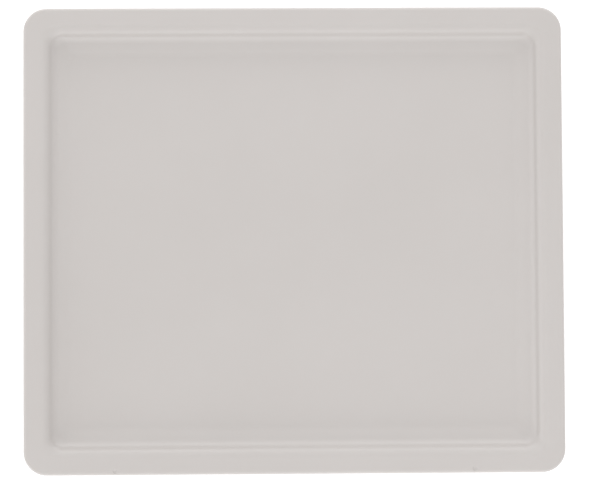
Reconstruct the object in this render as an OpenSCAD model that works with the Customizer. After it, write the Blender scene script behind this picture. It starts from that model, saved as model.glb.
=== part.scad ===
// Wet palette: a flat box with a lift-off lid. In its tray lie a sponge that is soaked with
// water and a pack of palette paper, and the seal in the lid keeps the paint on them moist.
// +X points right, -Y is the front, +Z is up. The origin is the centre of the resting face.

/* [Box] */
// Outside width of the lid, left to right
lid_w = 220; // [170:1:320]
// Outside depth of the lid, front to back
lid_d = 190; // [140:1:280]
// Height of the closed box
box_h = 30; // [28:0.5:50]
// Corner radius of the lid's outline
corner_r = 9.5; // [8:0.5:14]
// Clearance between pieces that come apart
gap = 0.3; // [0.2:0.05:0.4]

/* [Lid] */
// Thickness of the lid's skin
lid_wall = 1.5; // [1.2:0.1:2]
// Radius of the lid's outer top edge
lid_edge_r = 1.2; // [0.6:0.1:1.4]
// Depth of the recessed panel below the rim
recess_depth = 5.8; // [4:0.2:8]
// Distance from the lid's outline in to the flat of the panel
panel_inset = 18.5; // [17:0.5:26]
// Width of the sloping border round the flat of the panel
border_w = 4.5; // [3:0.5:6]
// Height that the border rises
border_rise = 1.1; // [0.5:0.1:1.5]
// Radius of the hollow between the border and the wall above it
recess_fillet = 5; // [4:0.5:6]
// Corner radius of the flat of the panel, in plan
panel_corner_r = 3; // [1:0.5:8]
// Height of the skirt that hangs round the tray's rim
skirt_h = 10; // [8:0.5:12]
// Distance of each gate mark on the front edge from the middle
mark_x = 73; // [40:1:80]
// Distance of a gate mark's centre in from the front edge
mark_inset = 1.5; // [1.2:0.1:4]
// Radius of a gate mark
mark_r = 0.95; // [0.6:0.05:1.1]
// Depth of a gate mark
mark_depth = 0.4; // [0.2:0.1:0.6]

/* [Seal] */
// Width of the seal ring
seal_w = 3; // [2:0.1:3.4]
// Height of the seal ring
seal_h = 1.5; // [1:0.1:2]

/* [Tray] */
// Thickness of the tray's wall and floor
tray_wall = 1.6; // [1.2:0.1:2]
// Thickness of the rim and of the ledge
rim_t = 1.4; // [1:0.1:2]
// Distance that the rim stands out from the wall
rim_reach = 1.3; // [0.8:0.1:1.6]
// Distance that the wall leans in from its rim to its foot
tray_draft = 3.5; // [2:0.5:6]
// Radius of the tray's outer bottom edge
tray_edge_r = 5; // [4:0.5:7]
// Distance of the ledge's edge in from the lid's outline
ledge_inset = 0.6; // [0.4:0.1:1]
// Height of the foot ring under the floor
foot_h = 1; // [0.6:0.1:2]
// Width of the foot ring
foot_w = 3; // [2:0.5:6]

/* [Sponge] */
// Thickness of the sponge
sponge_t = 7; // [4:0.5:9]
// Clearance between the sponge and the tray's hollow corner
sponge_gap = 1.5; // [0.5:0.5:4]
// Corner radius of the sponge
sponge_r = 6; // [3:1:12]

/* [Paper] */
// Number of spare sheets under the top one
spare_sheets = 12; // [4:1:20]
// Thickness of a sheet
sheet_t = 0.12; // [0.1:0.01:0.16]
// Distance from one sheet to the next in the pack
sheet_pitch = 0.16; // [0.16:0.01:0.2]
// Distance of a sheet's edge in from the sponge's edge
sheet_inset = 2; // [1:0.5:6]
// Corner radius of a sheet
sheet_r = 4; // [2:1:10]

/* [Hidden] */
$fn = 96;
// Sides of a ball in a rounded shell, which is a skin of flat facets
ball_fn = 40;
// Overrun of a cut past the face that it opens
over = 1;
// Thickness of a slice that a hull joins to the next one
slice_t = 0.01;
// Number of slices that shape the bowl's curved wall
bowl_slices = 10;
// Growth of the bowl's corner radius with its distance out from the panel
bowl_spread = 0.3;

// Lid
panel_top_z = box_h - recess_depth;
border_lean = atan(border_rise / border_w);
hollow_inset = panel_inset - border_w + recess_fillet * sin(border_lean);
hollow_z = panel_top_z + border_rise + recess_fillet * cos(border_lean);
skirt_z = box_h - skirt_h;
channel_top_z = box_h - lid_wall;

// Tray, from the rim down
rim_inset = lid_wall + gap;
rim_z = channel_top_z - seal_h - gap;
wall_top_inset = rim_inset + rim_reach;
wall_foot_inset = wall_top_inset + tray_draft;
ledge_z = skirt_z - gap - rim_t;
floor_z = foot_h + tray_wall;
floor_ball_r = tray_edge_r - tray_wall;
edge_ball_inset = wall_foot_inset + tray_edge_r;

// What lies in the tray
sponge_inset = edge_ball_inset + sponge_gap;
sponge_z = floor_z + gap;
pack_z = sponge_z + sponge_t + gap;
top_sheet_z = pack_z + (spare_sheets - 1) * sheet_pitch + sheet_t + gap;
paper_inset = sponge_inset + sheet_inset;

SPARES = [for (i = [1 : spare_sheets]) str("spare_sheet_", i < 10 ? "0" : "", i)];

// The box's outline, moved in by a distance, with a corner radius
module outline(inset, r) {
    w = lid_w - 2 * inset;
    d = lid_d - 2 * inset;
    square([w - 2 * r, d], center = true);
    square([w, d - 2 * r], center = true);
    for (x = [-1, 1], y = [-1, 1])
        translate([x * (w / 2 - r), y * (d / 2 - r)]) circle(r);
}

// A flat plate with that outline
module plate(inset, r, z, t) {
    translate([0, 0, z]) linear_extrude(t) outline(inset, r);
}

// A flat ring between two such outlines
module ring(inset, r, w, z, t) {
    translate([0, 0, z]) linear_extrude(t) difference() {
        outline(inset, r);
        outline(inset + w, max(r - w, gap));
    }
}

// The same thing at each corner of the outline, moved in by a distance
module at_corners(inset, z) {
    for (x = [-1, 1], y = [-1, 1])
        translate([x * (lid_w / 2 - inset), y * (lid_d / 2 - inset), z]) children();
}

// A thin slice of the bowl, whose corners in plan grow rounder away from the panel
module bowl_slice(inset, z) {
    plate(inset, panel_corner_r + (panel_inset - inset) * bowl_spread, z, slice_t, $fn = ball_fn);
}

// The bowl under the rim, up to a height: a flat panel, a border that slopes up all round it,
// and a hollow that turns the border into a steep wall.
// grow moves its surface out, for the underside of the lid's skin.
module bowl(grow, top_z) {
    r = recess_fillet + grow;
    steepest = hollow_z > top_z ? acos((hollow_z - top_z) / r) : 90;
    hull() {
        bowl_slice(panel_inset - grow * tan(border_lean / 2), panel_top_z - grow);
        for (i = [0 : bowl_slices]) {
            lean = border_lean + (steepest - border_lean) * i / bowl_slices;
            bowl_slice(hollow_inset - r * sin(lean), hollow_z - r * cos(lean));
        }
        bowl_slice(hollow_inset - r * sin(steepest), top_z);
    }
}

// The lid's outer block, with a rounded top edge
module lid_block() {
    hull() {
        at_corners(corner_r, skirt_z) cylinder(r = corner_r, h = skirt_h - lid_edge_r);
        at_corners(corner_r, box_h - lid_edge_r)
            rotate_extrude()
                translate([corner_r - lid_edge_r, 0]) circle(lid_edge_r, $fn = 32);
    }
}

module lid() {
    color("gainsboro") difference() {
        lid_block();
        bowl(0, box_h + over);
        difference() {
            plate(lid_wall, corner_r - lid_wall, skirt_z - over, channel_top_z - skirt_z + over);
            bowl(lid_wall, channel_top_z);
        }
        for (x = [-mark_x, mark_x])
            translate([x, -lid_d / 2 + mark_inset, box_h - mark_depth])
                cylinder(r = mark_r, h = mark_depth + over);
    }
}

// The seal fills the outer side of the lid's channel, over the tray's rim
module lid_seal() {
    color("white") ring(lid_wall, corner_r - lid_wall, seal_w, channel_top_z - seal_h, seal_h);
}

// A tray shell: balls along the foot, and the outline at the top of the wall
module tray_shell(r, top_inset, top_z) {
    hull() {
        at_corners(edge_ball_inset, foot_h + tray_edge_r) sphere(r, $fn = ball_fn);
        plate(top_inset, corner_r - top_inset, top_z - gap, gap, $fn = ball_fn);
    }
}

module base_tray() {
    color("whitesmoke") {
        difference() {
            union() {
                tray_shell(tray_edge_r, wall_top_inset, rim_z);
                plate(rim_inset, corner_r - rim_inset, rim_z - rim_t, rim_t);
                plate(ledge_inset, corner_r - ledge_inset, ledge_z, rim_t);
            }
            tray_shell(floor_ball_r, wall_top_inset + tray_wall, rim_z + over);
        }
        ring(edge_ball_inset, tray_edge_r, foot_w, 0, foot_h + tray_wall / 2);
    }
}

module sponge_pad() {
    color("khaki") plate(sponge_inset, sponge_r, sponge_z, sponge_t);
}

module sheet(z) {
    color("ivory") plate(paper_inset, sheet_r, z, sheet_t);
}

module palette_sheet() {
    sheet(top_sheet_z);
}

base_tray();
sponge_pad();
for (i = [0 : spare_sheets - 1])
    sheet(pack_z + i * sheet_pitch);
palette_sheet();
lid_seal();
lid();
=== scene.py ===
import math
import random

import bmesh
import bpy
from mathutils import Matrix, Vector, noise


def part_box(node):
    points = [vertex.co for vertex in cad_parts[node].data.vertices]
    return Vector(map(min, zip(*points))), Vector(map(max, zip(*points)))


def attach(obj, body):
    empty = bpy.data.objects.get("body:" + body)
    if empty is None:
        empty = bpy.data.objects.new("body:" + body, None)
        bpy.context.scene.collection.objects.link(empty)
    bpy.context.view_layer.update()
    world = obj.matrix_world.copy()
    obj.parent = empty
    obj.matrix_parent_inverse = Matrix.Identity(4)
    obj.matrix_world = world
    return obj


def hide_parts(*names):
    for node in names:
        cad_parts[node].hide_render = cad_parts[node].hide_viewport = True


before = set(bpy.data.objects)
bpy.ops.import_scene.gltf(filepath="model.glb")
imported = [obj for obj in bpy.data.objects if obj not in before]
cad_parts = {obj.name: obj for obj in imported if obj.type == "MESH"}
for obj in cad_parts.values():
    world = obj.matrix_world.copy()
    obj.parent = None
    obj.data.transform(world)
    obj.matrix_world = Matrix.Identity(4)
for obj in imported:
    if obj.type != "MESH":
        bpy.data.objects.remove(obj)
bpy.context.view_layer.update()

# A closed wet palette: tray, sponge, palette paper and a lift-off lid with a sunken panel.
# Profiles are in millimetres: s is the distance in from a piece's outline, z the height.
MM = 0.001


def cad_box(node):
    """Lowest and highest corner of a CAD node, in millimetres."""
    lo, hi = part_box(node)
    return [v / MM for v in lo], [v / MM for v in hi]


LID_LO, LID_HI = cad_box("lid")
TRAY_HI = cad_box("base_tray")[1]
SEAL_LO, SEAL_HI = cad_box("lid_seal")
SPONGE_LO, SPONGE_HI = cad_box("sponge_pad")
SHEET_HI = cad_box("palette_sheet")[1]
SPARES = sorted(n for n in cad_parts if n.startswith("spare_sheet_"))

LID_W = LID_HI[0] - LID_LO[0]
LID_D = LID_HI[1] - LID_LO[1]
RIM_Z = LID_HI[2]
SKIRT_Z = LID_LO[2]

# The lid's shape, as in the CAD model
CORNER_R = 9.5
LID_WALL = 1.5
LID_EDGE_R = 1.2
RECESS_DEPTH = 5.8
PANEL_INSET = 18.5
BORDER_W = 4.5
BORDER_RISE = 1.1
PANEL_CORNER_R = 3.0
BOWL_SPREAD = 0.3
HOLLOW_R = 5.0
PANEL_Z = RIM_Z - RECESS_DEPTH
BORDER_LEAN = math.degrees(math.atan2(BORDER_RISE, BORDER_W))
HOLLOW_S = PANEL_INSET - BORDER_W + HOLLOW_R * math.sin(math.radians(BORDER_LEAN))
HOLLOW_Z = PANEL_Z + BORDER_RISE + HOLLOW_R * math.cos(math.radians(BORDER_LEAN))

MARK_X = 73.0
MARK_R = 0.95
MARK_INSET = 1.5
MARK_DEPTH = 0.4

# Finer shapes of the lid that the CAD model leaves out: radii, a lean in degrees, the panel's crown
INNER_EDGE_R = 4.5
RIM_CREST_S = HOLLOW_S - math.sqrt(
    (HOLLOW_R + INNER_EDGE_R) ** 2 - (HOLLOW_Z - RIM_Z + INNER_EDGE_R) ** 2
)
RIM_LEAN = 1.5
SKIRT_DRAFT = 0.25
SKIRT_FOOT_R = 0.5
CHANNEL_R = 0.5
BLEND_R = 12.0
PANEL_CROWN = 0.35

# The seal. It clears the rounding in the lid's channel.
SEAL_W = 3.0
SEAL_FOOT_R = 0.7
SEAL_TOP_R = 0.6
SEAL_CLEAR = 0.04

# The tray's shape, as in the CAD model
TRAY_WALL = 1.6
RIM_T = 1.4
GAP = 0.3
RIM_INSET = LID_WALL + GAP
RIM_REACH = 1.3
WALL_TOP = RIM_INSET + RIM_REACH
TRAY_DRAFT = 3.5
TRAY_EDGE_R = 5.0
FOOT_H = 1.0
FOOT_W = 3.0
LEDGE_INSET = 0.6
LEDGE_Z = SKIRT_Z - GAP - RIM_T

# Rounded edges of the tray, which the CAD model leaves out
TRAY_RIM_EDGE_R = 0.5
UNDER_RIM_EDGE_R = 0.4
FOOT_EDGE_R = 0.4

# The sponge and the paper. SOFT_INSET is how far they stay inside their CAD outlines.
SOFT_INSET = 0.4
SPONGE_EDGE_R = 1.2
SPONGE_CORNER_R = 6.0
SPONGE_VOXEL = 1.4
SHEET_CORNER_R = 4.0
SHEET_MIDDLE_R = 3.0


# ---------------------------------------------------------------- outlines and shells

def arc(cs, cz, r, start, end, steps):
    """Points on a circle round (cs, cz), from one angle to another, in degrees."""
    turn = [math.radians(start + (end - start) * i / steps) for i in range(steps + 1)]
    return [(cs + r * math.cos(a), cz + r * math.sin(a)) for a in turn]


def with_radius(points, total, least=0.5):
    """Adds each point's corner radius in plan, which shrinks as the point moves in."""
    return [(s, z, max(total - s, least)) for s, z in points]


def side_stops(count, extra=()):
    """Places along a straight side, from -1 to 1, both ends left out."""
    even = [-1 + 2 * (i + 1) / (count + 1) for i in range(count)]
    return sorted(even + list(extra))


def outline(w, d, s, r, corner_steps, stops_x, stops_y):
    """A rounded rectangle as a ring of points, s inside the outline w by d.
    The ring runs anticlockwise from the front left."""
    hw, hd = w / 2 - s, d / 2 - s
    # Near the middle a ring is narrower than its corners, which have to shrink with it.
    r = min(r, 0.9 * hw, 0.9 * hd)
    cx, cy = hw - r, hd - r
    ring = [(u * cx, -hd) for u in stops_x]
    corners = [(cx, -cy, -90), (cx, cy, 0), (-cx, cy, 90), (-cx, -cy, 180)]
    sides = [
        [(hw, v * cy) for v in stops_y],
        [(-u * cx, hd) for u in stops_x],
        [(-hw, -v * cy) for v in stops_y],
        [],
    ]
    for (x, y, start), side in zip(corners, sides):
        for i in range(corner_steps + 1):
            a = math.radians(start + 90 * i / corner_steps)
            ring.append((x + r * math.cos(a), y + r * math.sin(a)))
        ring += side
    return ring


def new_object(name, mesh):
    obj = bpy.data.objects.new(name, mesh)
    bpy.context.scene.collection.objects.link(obj)
    return obj


def shell(name, w, d, profile, stops_x, stops_y, corner_steps=16, shape=None):
    """Sweeps a profile of (s, z, corner radius) round a rounded rectangle, and closes both ends.
    shape moves each point: it takes x, y, z and s and returns the new x, y, z."""
    bm = bmesh.new()
    rings = []
    for s, z, r in profile:
        ring = []
        for x, y in outline(w, d, s, r, corner_steps, stops_x, stops_y):
            p = shape(x, y, z, s) if shape else (x, y, z)
            ring.append(bm.verts.new(Vector(p) * MM))
        rings.append(ring)
    for a, b in zip(rings, rings[1:]):
        for i in range(len(a)):
            j = (i + 1) % len(a)
            bm.faces.new((a[i], a[j], b[j], b[i]))
    caps = [bm.faces.new(list(reversed(rings[0]))), bm.faces.new(rings[-1])]
    bmesh.ops.triangulate(bm, faces=caps)
    bmesh.ops.recalc_face_normals(bm, faces=bm.faces)
    for f in bm.faces:
        f.smooth = True
    mesh = bpy.data.meshes.new(name)
    bm.to_mesh(mesh)
    bm.free()
    return new_object(name, mesh)


def ring_shell(name, w, d, section):
    """Sweeps a closed section round a rounded rectangle, with nothing across the middle."""
    bm = bmesh.new()
    stops = side_stops(12)
    rings = [
        [bm.verts.new((x * MM, y * MM, z * MM)) for x, y in outline(w, d, s, r, 12, stops, stops)]
        for s, z, r in section
    ]
    for a, b in zip(rings, rings[1:] + rings[:1]):
        for i in range(len(a)):
            j = (i + 1) % len(a)
            bm.faces.new((a[i], a[j], b[j], b[i]))
    bmesh.ops.recalc_face_normals(bm, faces=bm.faces)
    for f in bm.faces:
        f.smooth = True
    mesh = bpy.data.meshes.new(name)
    bm.to_mesh(mesh)
    bm.free()
    return new_object(name, mesh)


def flat_run(start, end, z, radius_start, radius_end, stops):
    """Points across a flat stretch, with the corner radius changing evenly."""
    return [
        (start + (end - start) * t, z, radius_start + (radius_end - radius_start) * t)
        for t in stops
    ]


def panel_run(z, first, last=90.0):
    """Rings over a flat panel, from its edge in to a narrow one near the middle."""
    steps = [0, 0.02, 0.06, 0.12, 0.2, 0.3, 0.42, 0.56, 0.72, 0.88, 1]
    return [(first + (last - first) * t, z, PANEL_CORNER_R) for t in steps]


# ---------------------------------------------------------------- materials

def material(name, roughness, **sockets):
    """A Principled material with constants on its own sockets.
    Returns it, its nodes, its links and the shader."""
    mat = bpy.data.materials.new(name)
    mat.use_nodes = True
    nodes, links = mat.node_tree.nodes, mat.node_tree.links
    shader = nodes["Principled BSDF"]
    shader.inputs["Roughness"].default_value = roughness
    for socket, value in sockets.items():
        shader.inputs[socket.replace("_", " ")].default_value = value
    return mat, nodes, links, shader


def object_coordinates(nodes):
    return nodes.new("ShaderNodeTexCoord").outputs["Object"]


def noise_texture(nodes, links, scale, detail=3.0, rough=0.5, stretch=(1, 1, 1)):
    """Noise in the piece's own metres."""
    mapping = nodes.new("ShaderNodeMapping")
    mapping.inputs["Scale"].default_value = stretch
    links.new(object_coordinates(nodes), mapping.inputs["Vector"])
    tex = nodes.new("ShaderNodeTexNoise")
    tex.inputs["Scale"].default_value = scale
    tex.inputs["Detail"].default_value = detail
    tex.inputs["Roughness"].default_value = rough
    links.new(mapping.outputs["Vector"], tex.inputs["Vector"])
    return tex.outputs["Fac"]


def between(nodes, links, fac, low, high, from_low=0.3, from_high=0.7):
    """A number that follows a texture, from low to high."""
    node = nodes.new("ShaderNodeMapRange")
    node.inputs["From Min"].default_value = from_low
    node.inputs["From Max"].default_value = from_high
    node.inputs["To Min"].default_value = low
    node.inputs["To Max"].default_value = high
    links.new(fac, node.inputs["Value"])
    return node.outputs["Result"]


def two_tone(nodes, links, fac, first, second, low=0.3, high=0.7):
    """A colour that follows a texture, from first to second."""
    ramp = nodes.new("ShaderNodeValToRGB")
    ramp.color_ramp.elements[0].position = low
    ramp.color_ramp.elements[0].color = (*first, 1)
    ramp.color_ramp.elements[1].position = high
    ramp.color_ramp.elements[1].color = (*second, 1)
    links.new(fac, ramp.inputs["Fac"])
    return ramp.outputs["Color"]


def bump(nodes, links, shader, heights):
    """Stacks (height, strength, depth in metres) bumps into the shader's normal."""
    normal = None
    for height, strength, depth in heights:
        node = nodes.new("ShaderNodeBump")
        node.inputs["Strength"].default_value = strength
        node.inputs["Distance"].default_value = depth
        links.new(height, node.inputs["Height"])
        if normal:
            links.new(normal, node.inputs["Normal"])
        normal = node.outputs["Normal"]
    links.new(normal, shader.inputs["Normal"])


def milky_plastic(name, first, second, roughness=0.32):
    """Moulded polypropylene: cloudy colour, a satin spark-eroded skin, faint flow lines and scuffs."""
    mat, nodes, links, shader = material(
        name, roughness, IOR=1.49, Subsurface_Weight=0.12, Subsurface_Scale=0.002,
        Subsurface_Radius=(1.0, 0.95, 0.9),
    )
    cloud = noise_texture(nodes, links, 14, detail=2)
    links.new(two_tone(nodes, links, cloud, first, second), shader.inputs["Base Color"])
    patches = noise_texture(nodes, links, 45, detail=4)
    links.new(
        between(nodes, links, patches, roughness - 0.03, roughness + 0.08),
        shader.inputs["Roughness"],
    )
    skin = noise_texture(nodes, links, 2200, detail=2)
    flow = noise_texture(nodes, links, 60, detail=2, stretch=(1, 0.25, 1))
    bump(nodes, links, shader, [(skin, 0.12, 0.00003), (flow, 0.1, 0.0002)])
    return mat


def silicone(name):
    mat, nodes, links, shader = material(
        name, 0.42, IOR=1.41, Subsurface_Weight=0.35, Subsurface_Scale=0.003
    )
    cloud = noise_texture(nodes, links, 90)
    colour = two_tone(nodes, links, cloud, (0.60, 0.60, 0.58), (0.68, 0.68, 0.66))
    links.new(colour, shader.inputs["Base Color"])
    skin = noise_texture(nodes, links, 1500)
    bump(nodes, links, shader, [(skin, 0.15, 0.00004)])
    return mat


def pore_distance(nodes, links, scale):
    """Distance from the middle of the nearest cell, in the piece's own metres."""
    cells = nodes.new("ShaderNodeTexVoronoi")
    cells.inputs["Scale"].default_value = scale
    links.new(object_coordinates(nodes), cells.inputs["Vector"])
    return cells.outputs["Distance"]


def sponge_cells(name):
    """Cellulose sponge: fine pores all over and wide ones among them, with painted shade darkening the
    inside of the pores, on a warm body.
    """
    mat, nodes, links, shader = material(
        name, 0.9, IOR=1.4, Subsurface_Weight=0.1, Subsurface_Scale=0.003
    )
    fine, wide = pore_distance(nodes, links, 620), pore_distance(nodes, links, 260)
    patches = noise_texture(nodes, links, 75, detail=2)
    # Where the patches are strong a wide pore opens up, and elsewhere it closes.
    reach = between(nodes, links, patches, 0.12, 0.5, 0.35, 0.65)
    open_wide = nodes.new("ShaderNodeMath")
    open_wide.operation = "LESS_THAN"
    links.new(wide, open_wide.inputs[0])
    links.new(reach, open_wide.inputs[1])
    # Painted shade: the base colour turns dark brown towards the middle of each pore, standing in for the
    # shade inside the holes.
    depth = nodes.new("ShaderNodeMath")
    depth.operation = "MAXIMUM"
    links.new(between(nodes, links, fine, 1, 0, 0.1, 0.5), depth.inputs[0])
    links.new(open_wide.outputs[0], depth.inputs[1])
    links.new(
        two_tone(nodes, links, depth.outputs[0], (0.78, 0.58, 0.20), (0.47, 0.31, 0.08), 0.3, 1.0),
        shader.inputs["Base Color"],
    )
    grain = noise_texture(nodes, links, 900, detail=5)
    bump(nodes, links, shader, [(wide, 0.7, 0.001), (fine, 0.7, 0.0005), (grain, 0.4, 0.0002)])
    return mat


def palette_paper(name):
    """Smooth parchment with a faint cloud of fibres."""
    mat, nodes, links, shader = material(name, 0.62, IOR=1.45)
    cloud = noise_texture(nodes, links, 130, detail=6, rough=0.65)
    colour = two_tone(nodes, links, cloud, (0.79, 0.755, 0.67), (0.84, 0.81, 0.735))
    links.new(colour, shader.inputs["Base Color"])
    fibres = noise_texture(nodes, links, 700, detail=4, stretch=(1, 0.3, 1))
    bump(nodes, links, shader, [(fibres, 0.25, 0.00005)])
    return mat


def finish_piece(piece, body, slot, mat, *nodes):
    """Puts a new piece on its body, in its material, in place of its CAD nodes."""
    piece.data.materials.append(mat)
    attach(piece, body)
    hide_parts(*nodes)
    return piece


# ---------------------------------------------------------------- lid

def bowl_points(points):
    """Adds the bowl's corner radius in plan, which grows from the panel outwards."""
    return [(s, z, PANEL_CORNER_R + (PANEL_INSET - s) * BOWL_SPREAD) for s, z in points]


def lid_profile():
    """From the middle of the panel, out over the rim, round the skirt and back under the panel."""
    blend = BLEND_R * math.tan(math.radians(BORDER_LEAN / 2))
    top = list(reversed(panel_run(PANEL_Z, PANEL_INSET + blend + 0.2)))
    # The panel turns up into the border, and the hollow above it turns that into the wall.
    turn = bowl_points(
        arc(PANEL_INSET + blend, PANEL_Z + BLEND_R, BLEND_R, 270, 270 - BORDER_LEAN, 8)
    )
    border = bowl_points(
        (PANEL_INSET - BORDER_W * t, PANEL_Z + BORDER_RISE * t) for t in (0.5, 0.7, 0.9)
    )
    # The rounded inner edge touches the rim's crest and the hollow.
    edge_z = RIM_Z - INNER_EDGE_R
    lean = math.degrees(math.atan2(HOLLOW_Z - edge_z, HOLLOW_S - RIM_CREST_S))
    wall = bowl_points(arc(HOLLOW_S, HOLLOW_Z, HOLLOW_R, 270 - BORDER_LEAN, 180 + lean, 16))
    inner = bowl_points(arc(RIM_CREST_S, edge_z, INNER_EDGE_R, lean, 90 + RIM_LEAN, 16)[1:])
    # From its crest the rim leans out, down to the rounded outer edge.
    start_s, start_z, start_r = inner[-1]
    rim_slope = math.tan(math.radians(RIM_LEAN))
    outer_s = LID_EDGE_R * (1 - math.sin(math.radians(RIM_LEAN)))
    drop = (start_s - outer_s) * rim_slope
    rim = [
        (s, z - (start_s - s) * rim_slope, r)
        for s, z, r in flat_run(
            start_s, outer_s, start_z, start_r, CORNER_R - outer_s,
            (0.12, 0.25, 0.4, 0.5, 0.58, 0.65, 0.7, 0.75, 0.8, 0.85, 0.9, 0.96),
        )
    ]
    outer_z = start_z - drop - LID_EDGE_R * math.cos(math.radians(RIM_LEAN))
    outer = with_radius(
        arc(LID_EDGE_R, outer_z, LID_EDGE_R, 90 + RIM_LEAN, 180, 8), CORNER_R
    )
    foot_r = SKIRT_FOOT_R
    skirt = with_radius([
        (0.01, outer_z - 0.4),
        (SKIRT_DRAFT * 0.5, SKIRT_Z + 4),
        (SKIRT_DRAFT * 0.9, SKIRT_Z + foot_r + 0.3),
        *arc(SKIRT_DRAFT + foot_r, SKIRT_Z + foot_r, foot_r, 180, 270, 4),
        *arc(LID_WALL - foot_r, SKIRT_Z + foot_r, foot_r, 270, 360, 4),
        (LID_WALL, SKIRT_Z + foot_r + 0.3),
        (LID_WALL, RIM_Z - LID_WALL - 1.0),
    ], CORNER_R)
    channel_z = RIM_Z - LID_WALL
    under_r = HOLLOW_R + LID_WALL
    rise = HOLLOW_Z - channel_z
    join_s = HOLLOW_S - math.sqrt(under_r ** 2 - rise ** 2)
    lean_under = math.degrees(math.asin(rise / under_r))
    under = bowl_points(
        arc(HOLLOW_S, HOLLOW_Z, under_r, 180 + lean_under, 270 - BORDER_LEAN, 14)
    )
    channel = with_radius(
        arc(LID_WALL + CHANNEL_R, channel_z - CHANNEL_R, CHANNEL_R, 180, 90, 3), CORNER_R
    )
    channel += flat_run(
        LID_WALL + 0.7, join_s, channel_z, CORNER_R - LID_WALL - 0.7, under[0][2],
        (0, 0.5, 0.97),
    )
    return (
        top + turn + border + wall + inner + rim + outer + skirt + channel + under
        + panel_run(PANEL_Z - LID_WALL, PANEL_INSET)
    )


def lid_shape(x, y, z, s):
    """The panel's slight crown, and the two gate marks on the front of the rim."""
    if s > PANEL_INSET:
        u = abs(x) / (LID_W / 2 - PANEL_INSET)
        v = abs(y) / (LID_D / 2 - PANEL_INSET)
        z += PANEL_CROWN * max(0, 1 - u ** 2) * max(0, 1 - v ** 2)
    if s < RIM_CREST_S and z > RIM_Z - LID_EDGE_R:
        away = math.hypot(abs(x) - MARK_X, y + LID_D / 2 - MARK_INSET)
        if away < MARK_R:
            z -= MARK_DEPTH * (1 - (away / MARK_R) ** 4)
    return x, y, z


def make_lid(plastic):
    half = LID_W / 2 - CORNER_R
    near_mark = [
        side * (MARK_X + MARK_R * t) / half
        for side in (-1, 1)
        for t in (-1.3, -1, -0.9, -0.75, -0.5, -0.25, 0.02, 0.25, 0.5, 0.75, 0.9, 1, 1.3)
    ]
    lid = shell(
        "lid_shell", LID_W, LID_D, lid_profile(),
        side_stops(22, near_mark), side_stops(20), shape=lid_shape,
    )
    return finish_piece(lid, "lid", "lid_plastic", plastic, "lid")


def make_seal(mat):
    """A soft ring with a rounded underside and a rounded top outer edge."""
    w, d = SEAL_HI[0] - SEAL_LO[0], SEAL_HI[1] - SEAL_LO[1]
    top, bottom = SEAL_HI[2], SEAL_LO[2]
    corner = CORNER_R - LID_WALL
    foot_z = bottom + SEAL_FOOT_R
    section = with_radius([
        *arc(SEAL_CLEAR + SEAL_TOP_R, top - SEAL_CLEAR - SEAL_TOP_R, SEAL_TOP_R, 90, 180, 5),
        *arc(SEAL_CLEAR + SEAL_FOOT_R, foot_z, SEAL_FOOT_R, 180, 270, 6),
        *arc(SEAL_W - SEAL_FOOT_R, foot_z, SEAL_FOOT_R, 270, 360, 6),
        (SEAL_W, top - SEAL_CLEAR),
        (SEAL_W / 2, top - SEAL_CLEAR),
    ], corner)
    ring = ring_shell("seal_ring", w, d, section)
    return finish_piece(ring, "lid", "seal_silicone", mat, "lid_seal")


# ---------------------------------------------------------------- tray

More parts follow.
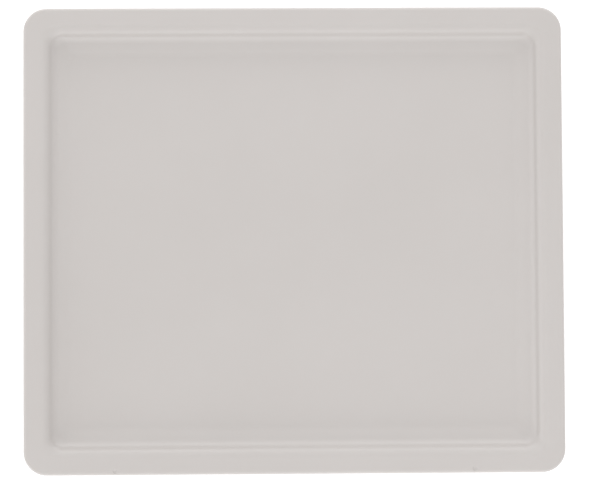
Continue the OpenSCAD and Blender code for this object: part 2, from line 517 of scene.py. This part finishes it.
def tray_profile():
    """From the middle of the floor, up the inside, over the rim, down the outside and under the foot."""
    ball_s = WALL_TOP + TRAY_DRAFT + TRAY_EDGE_R
    ball_z = FOOT_H + TRAY_EDGE_R
    inner_r = TRAY_EDGE_R - TRAY_WALL
    top = TRAY_HI[2]
    lean = math.degrees(math.atan2(TRAY_DRAFT, top - ball_z))
    floor_z = ball_z - inner_r
    inner_top = WALL_TOP + TRAY_WALL
    edge, under = TRAY_RIM_EDGE_R, UNDER_RIM_EDGE_R

    def wall_s(z):
        """The outer face's distance in at a height."""
        return WALL_TOP + TRAY_DRAFT * (top - z) / (top - ball_z)

    floor = list(reversed(panel_run(floor_z, ball_s + 0.4)))
    inside = with_radius(arc(ball_s, ball_z, inner_r, 270, 180 + lean, 12), ball_s)
    inside += [
        (wall_s(z) + TRAY_WALL, z, inside[-1][2] + (CORNER_R - inner_top - inside[-1][2]) * t)
        for t, z in ((t, ball_z + (top - 1.2 - ball_z) * t) for t in (0.1, 0.4, 0.7, 1))
    ]
    rim = with_radius([
        *arc(inner_top - edge, top - edge, edge, 0, 90, 4),
        (inner_top - edge - 0.3, top),
        (RIM_INSET + edge + 0.3, top),
        *arc(RIM_INSET + edge, top - edge, edge, 90, 180, 4),
        *arc(RIM_INSET + under, top - RIM_T + under, under, 180, 270, 4),
        (WALL_TOP, top - RIM_T),
        (wall_s(top - RIM_T - 0.4), top - RIM_T - 0.4),
        (wall_s(LEDGE_Z + RIM_T + 0.4), LEDGE_Z + RIM_T + 0.4),
        (wall_s(LEDGE_Z + RIM_T) - 0.4, LEDGE_Z + RIM_T),
        (LEDGE_INSET + edge + 0.2, LEDGE_Z + RIM_T),
        *arc(LEDGE_INSET + edge, LEDGE_Z + RIM_T - edge, edge, 90, 180, 4),
        *arc(LEDGE_INSET + edge, LEDGE_Z + edge, edge, 180, 270, 4),
        (wall_s(LEDGE_Z) - 0.5, LEDGE_Z),
        (wall_s(LEDGE_Z - 0.5), LEDGE_Z - 0.5),
    ], CORNER_R)
    low_r = CORNER_R - rim[-1][0]
    outside = [
        (wall_s(z), z, low_r + (TRAY_EDGE_R - low_r) * t)
        for t, z in ((t, LEDGE_Z - 0.5 + (ball_z - LEDGE_Z + 0.5) * t) for t in (0.3, 0.7, 0.95))
    ]
    outside += with_radius(arc(ball_s, ball_z, TRAY_EDGE_R, 180, 258, 12), ball_s)
    inner_s = ball_s + FOOT_W
    foot = [
        (ball_s - 0.25, FOOT_H + 0.02, TRAY_EDGE_R + 0.3),
        (ball_s, FOOT_H - 0.3, TRAY_EDGE_R),
        *[(s, z, TRAY_EDGE_R) for s, z in arc(ball_s + FOOT_EDGE_R, FOOT_EDGE_R, FOOT_EDGE_R, 180, 270, 4)],
        *[(s, z, 2.4) for s, z in arc(inner_s - FOOT_EDGE_R, FOOT_EDGE_R, FOOT_EDGE_R, 270, 360, 4)],
        (inner_s, FOOT_H - 0.3, 2.2),
        (inner_s + 0.3, FOOT_H, 2.0),
    ]
    return floor + inside + rim + outside + foot + panel_run(FOOT_H, inner_s + 1)


def make_tray(plastic):
    tray = shell(
        "tray_shell", LID_W, LID_D, tray_profile(), side_stops(18), side_stops(16)
    )
    return finish_piece(tray, "tray", "tray_plastic", plastic, "base_tray")


# ---------------------------------------------------------------- sponge and paper

def voxel_skin(obj, size):
    """Remeshes a closed piece into even quads, in place."""
    mod = obj.modifiers.new("voxels", "REMESH")
    mod.mode = "VOXEL"
    mod.voxel_size = size
    mod.use_smooth_shade = True
    depsgraph = bpy.context.evaluated_depsgraph_get()
    mesh = bpy.data.meshes.new_from_object(obj.evaluated_get(depsgraph))
    obj.modifiers.remove(mod)
    old = obj.data
    obj.data = mesh
    bpy.data.meshes.remove(old)
    mesh.name = obj.name


def make_sponge(mat):
    """An open-cell block: rounded edges, an uneven skin and real pits where the big pores open."""
    w, d = SPONGE_HI[0] - SPONGE_LO[0], SPONGE_HI[1] - SPONGE_LO[1]
    low, high = SPONGE_LO[2] + 0.1, SPONGE_HI[2] - 0.35
    edge = SPONGE_EDGE_R
    profile = list(reversed(panel_run(high, edge + 0.5, 80)))
    profile += with_radius(arc(edge, high - edge, edge, 90, 180, 5), SPONGE_CORNER_R, 3)
    profile += with_radius(arc(edge, low + edge, edge, 180, 270, 5), SPONGE_CORNER_R, 3)
    profile += panel_run(low, edge + 0.5, 80)
    sponge = shell(
        "sponge_block", w - 2 * SOFT_INSET, d - 2 * SOFT_INSET, profile,
        side_stops(20), side_stops(18), 10,
    )
    voxel_skin(sponge, SPONGE_VOXEL * MM)
    middle = (low + high) / 2
    normals = [v.normal.copy() for v in sponge.data.vertices]
    for v, normal in zip(sponge.data.vertices, normals):
        p = v.co / MM
        swell = 0.25 * noise.noise(p * 0.04)
        cell = noise.voronoi(p * 0.22)[0][0]
        pit = max(0.0, 0.38 - cell) * 1.9
        grain = 0.12 * noise.noise(p * 0.9)
        push = grain - pit
        if p.z > middle:
            push += 0.15 + swell
        v.co += normal * push * MM
    top = (SPONGE_HI[2] - 0.02) * MM
    for v in sponge.data.vertices:
        v.co.z = min(v.co.z, top)
    return finish_piece(sponge, "sponge", "sponge", mat, "sponge_pad")


def paper_lift(x, y):
    """How far dry paper lifts off its pack at a place: corners curl, and the middle waves a little."""
    u = abs(x) / SHEET_HI[0]
    v = abs(y) / SHEET_HI[1]
    curl = (u * v) ** 4
    wave = 0.5 + 0.5 * noise.noise(Vector((x * 0.012, y * 0.014, 3.7)))
    return 0.9 * curl + 0.35 * wave * (0.3 + 0.7 * max(u, v) ** 2)


def make_sheet(name, node, share, turn, shift, mat, body):
    """One sheet of paper with real thickness. share is how much of the pack's lift it has."""
    lo, hi = cad_box(node)
    w, d = hi[0] - lo[0] - 2 * SOFT_INSET, hi[1] - lo[1] - 2 * SOFT_INSET
    steps = [0, 0.01, 0.03, 0.07, 0.13, 0.21, 0.32, 0.45, 0.6, 0.8, 1]
    run = [(78 * a, SHEET_CORNER_R if a < 0.05 else SHEET_MIDDLE_R) for a in steps]
    profile = [(s, hi[2], r) for s, r in reversed(run)] + [(s, lo[2], r) for s, r in run]
    spin = Matrix.Rotation(math.radians(turn), 2)

    def place(x, y, z, s):
        q = spin @ Vector((x, y)) + Vector(shift)
        return q.x, q.y, z + share * paper_lift(q.x, q.y)

    sheet = shell(name, w, d, profile, side_stops(22), side_stops(20), 6, shape=place)
    return finish_piece(sheet, body, "palette_paper", mat, node)


def make_paper(mat):
    rnd = random.Random(7)
    for i, node in enumerate(SPARES):
        turn = rnd.uniform(-0.2, 0.2)
        shift = (rnd.uniform(-0.6, 0.6), rnd.uniform(-0.6, 0.6))
        share = 0.2 + 0.6 * (i + 1) / len(SPARES)
        make_sheet("paper_" + node[-2:], node, share, turn, shift, mat, "spare_pack")
    make_sheet("paper_top", "palette_sheet", 1.0, 0.1, (0.1, -0.1), mat, "top_sheet")


# ---------------------------------------------------------------- stage, lights and camera

def make_floor():
    bm = bmesh.new()
    bmesh.ops.create_grid(bm, x_segments=4, y_segments=4, size=10)
    mesh = bpy.data.meshes.new("floor")
    bm.to_mesh(mesh)
    bm.free()
    floor = new_object("floor", mesh)
    mat, nodes, links, shader = material("floor_paper", 0.9)
    grain = noise_texture(nodes, links, 300)
    links.new(
        two_tone(nodes, links, grain, (0.93, 0.93, 0.93), (0.95, 0.95, 0.95)),
        shader.inputs["Base Color"],
    )
    shader.inputs["Emission Color"].default_value = (1, 1, 1, 1)
    shader.inputs["Emission Strength"].default_value = 0.2
    floor.data.materials.append(mat)


def area_light(name, place, size, power):
    """A soft rectangle of light that faces the object, its place and size in metres."""
    light = bpy.data.lights.new(name, "AREA")
    light.shape = "RECTANGLE"
    light.size, light.size_y = size
    light.energy = power
    obj = new_object(name, light)
    obj.location = place
    obj.rotation_mode = "QUATERNION"
    obj.rotation_quaternion = (-Vector(place)).to_track_quat("-Z", "Y")


def make_lights():
    world = bpy.data.worlds.new("studio")
    world.use_nodes = True
    sky = world.node_tree.nodes["Background"]
    sky.inputs["Color"].default_value = (1.0, 1.0, 1.0, 1)
    sky.inputs["Strength"].default_value = 0.73
    bpy.context.scene.world = world
    for name, side in (("front", -1), ("back", 1)):
        area_light(name + "_high", (0.16, side * 1.52, 1.92), (3.2, 1.44), 8)
        area_light(name + "_low", (0.16, side * 2.08, 0.8), (2.9, 1.12), 19)
    area_light("left_fill", (-2.08, 0, 0.8), (1.12, 1.92), 9)


# The camera: its distance in metres, the share of the frame's width that the lid fills, and its
# tilts in degrees away from straight above
REACH = 0.8
LID_SHARE = 0.901
FRONT_TILT = 2.2
LEFT_TILT = 1.0
ROLL = -0.3


def make_camera():
    """Straight above, a touch towards the front and the left."""
    camera = bpy.data.cameras.new("camera")
    camera.sensor_width = 36
    view_w = LID_W * MM / LID_SHARE
    camera.lens = camera.sensor_width * REACH / view_w
    obj = new_object("camera", camera)
    left, front = math.sin(math.radians(LEFT_TILT)), math.sin(math.radians(FRONT_TILT))
    away = Vector((-left, -front, 1)).normalized()
    target = Vector((0.00245, -0.0001, RIM_Z * MM))
    up = away.cross(Vector((1, 0, 0)))
    look = Matrix((up.cross(away).normalized(), up.normalized(), away)).transposed()
    roll = Matrix.Rotation(math.radians(ROLL), 3, "Z")
    obj.location = target + away * REACH
    obj.rotation_mode = "QUATERNION"
    obj.rotation_quaternion = (look @ roll).to_quaternion()
    bpy.context.scene.camera = obj


make_lid(milky_plastic("lid_plastic", (0.537, 0.508, 0.491), (0.550, 0.521, 0.505)))
make_seal(silicone("seal_silicone"))
make_tray(milky_plastic("tray_plastic", (0.62, 0.60, 0.59), (0.65, 0.63, 0.62)))
make_sponge(sponge_cells("sponge_cells"))
make_paper(palette_paper("palette_paper"))
make_floor()
make_lights()
make_camera()
bpy.context.scene.view_settings.view_transform = "Standard"
bpy.context.scene.view_settings.look = "None"
